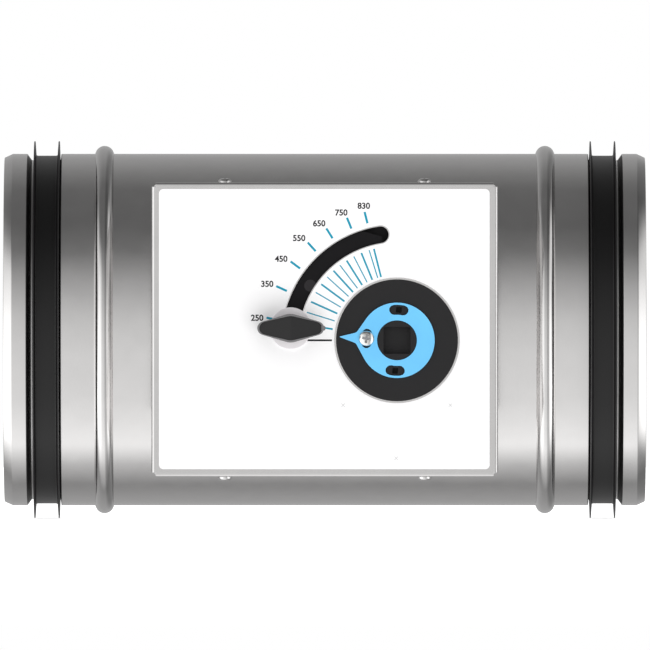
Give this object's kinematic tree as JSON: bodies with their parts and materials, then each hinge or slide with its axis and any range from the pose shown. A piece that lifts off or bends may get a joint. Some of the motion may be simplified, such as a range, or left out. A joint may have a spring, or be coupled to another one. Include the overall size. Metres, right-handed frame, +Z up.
{
  "type": "constant air volume regulator",
  "caption": "Round duct air volume regulator with lip seals, a box-shaped setting console, scale plate, turning dial, blue pointer and clamp knob.",
  "frame": {"origin": "on the duct's axis, at the middle of the inlet spigot's cylindrical land", "axes": "+X along the duct, out of the inlet; +Z up; the setting console and its dial face -Y"},
  "size_m": [0.3626, 0.2527, 0.2134],
  "materials": {
    "galvanised_steel": "satin zinc coat",
    "seal_rubber": "matt",
    "label_white": "matt",
    "zinc_plated_steel": "bright zinc",
    "black_plastic": "fine grained",
    "blue_plastic": "satin",
    "knob_plastic": "satin",
    "washer_plastic": "satin",
    "bearing_plastic": "satin",
    "bellows_rubber": "matt",
    "spring_steel": "blued"
  },
  "bodies": {
    "duct": {"duct_casing": "galvanised_steel", "lip_seals": "seal_rubber", "console_base": "galvanised_steel", "console_cover": "galvanised_steel", "cover_screws": "zinc_plated_steel", "shaft_bearings": "bearing_plastic", "bearing_nuts": "bearing_plastic", "blade_stops": "zinc_plated_steel", "bellows_bracket": "galvanised_steel"},
    "blade": {"blade_shaft": "zinc_plated_steel", "damper_blade": "galvanised_steel", "blade_screws": "zinc_plated_steel", "crank_arm": "zinc_plated_steel", "crank_grub_screw": "spring_steel", "balance_weight": "zinc_plated_steel", "torsion_spring": "spring_steel", "damping_bellows": "bellows_rubber", "bellows_clamp_plate": "zinc_plated_steel"},
    "setting": {"setting_dial": "black_plastic", "setting_lever": "zinc_plated_steel", "slide_washer": "washer_plastic", "pointer_screw": "zinc_plated_steel"},
    "pointer": {"pointer_ring": "blue_plastic"},
    "knob": {"clamp_knob": "knob_plastic"}
  },
  "joints": [
    {"name": "blade_turn", "type": "hinge", "parent": "duct", "child": "blade", "pos_m": [-0.13175, 0, -0.006], "axis": [0, -1, 0], "range_deg": [0, 60], "stiffness_Nm_per_rad": 0.3, "springref_deg": -20.05, "deforming": ["torsion_spring", "damping_bellows"]},
    {"name": "setpoint_turn", "type": "hinge", "parent": "duct", "child": "setting", "pos_m": [-0.13175, -0.13, -0.006], "axis": [0, 1, 0], "range_deg": [0, 74.6]},
    {"name": "pointer_trim", "type": "hinge", "parent": "setting", "child": "pointer", "pos_m": [-0.13175, -0.132, -0.006], "axis": [0, 1, 0], "range_deg": [-8, 8]},
    {"name": "clamp_knob_turn", "type": "hinge", "parent": "setting", "child": "knob", "pos_m": [-0.19146, -0.138, 0.0008], "axis": [0, -1, 0], "range_deg": [0, 120]}
  ]
}
